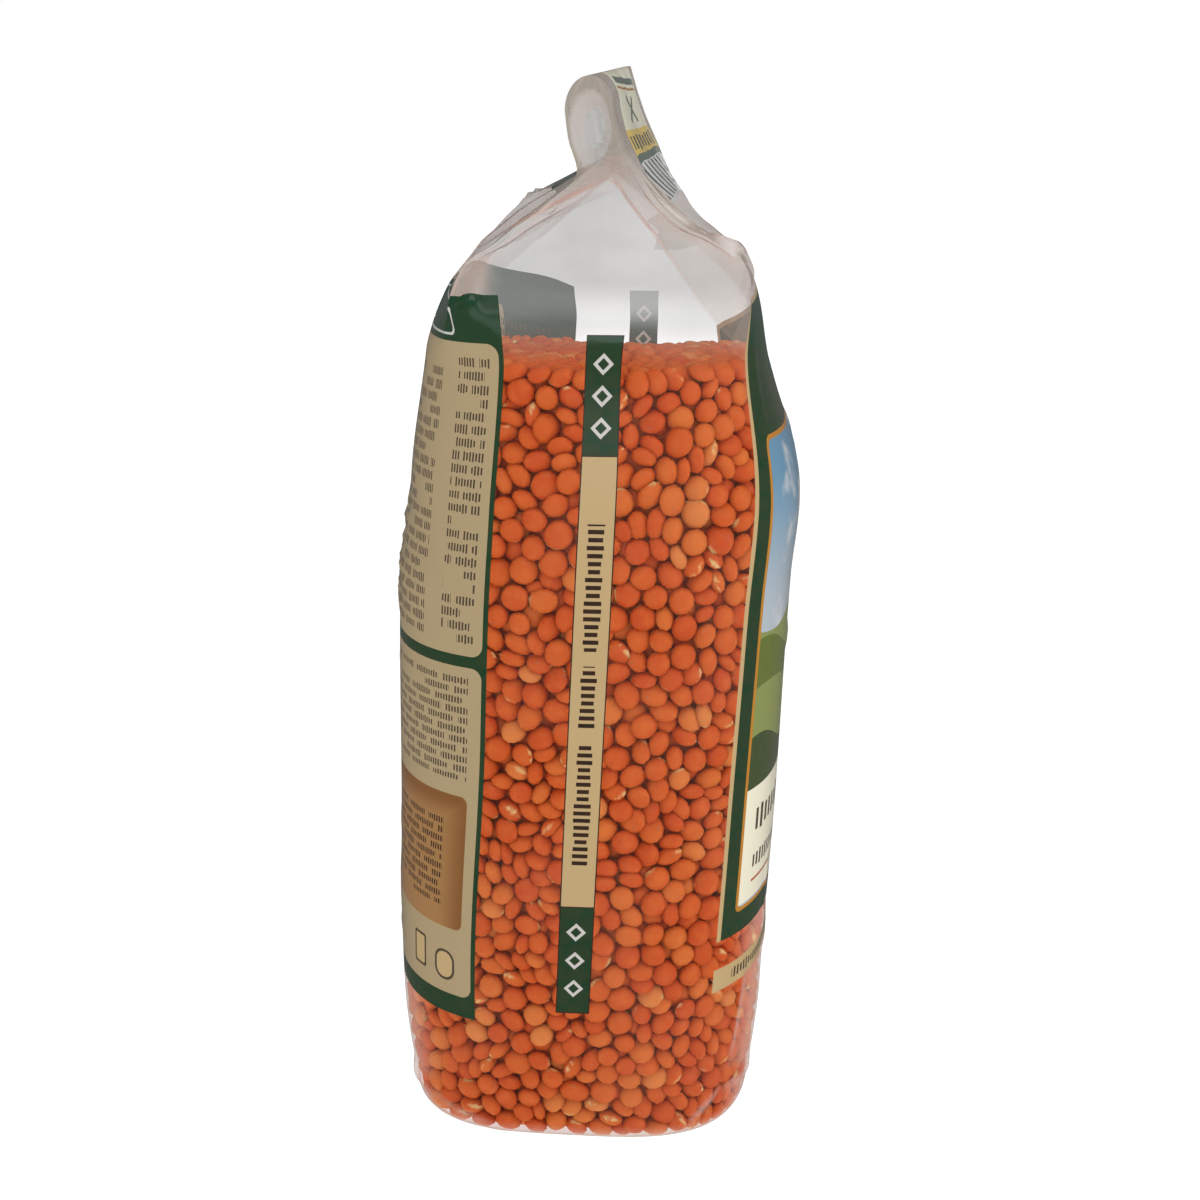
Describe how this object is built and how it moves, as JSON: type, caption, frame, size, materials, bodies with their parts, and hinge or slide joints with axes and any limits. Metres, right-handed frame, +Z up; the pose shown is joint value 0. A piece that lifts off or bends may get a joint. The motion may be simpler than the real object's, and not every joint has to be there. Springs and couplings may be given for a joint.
{
  "type": "bag of lentils",
  "caption": "Sealed clear film bag of whole red lentils with tucked side gussets and a folded-over top, standing on its flat base.",
  "frame": {"origin": "middle of the flat base, on the surface that the bag stands on", "axes": "+Z up along the bag, +X towards the front panel, -X the back panel with the seam, -Y and +Y towards the side gussets"},
  "size_m": [0.0736, 0.084, 0.1879],
  "materials": {
    "film_and_lentils": "clear glossy film over orange lentils"
  },
  "bodies": {
    "root": {"lentil_bag": "film_and_lentils"}
  },
  "joints": []
}
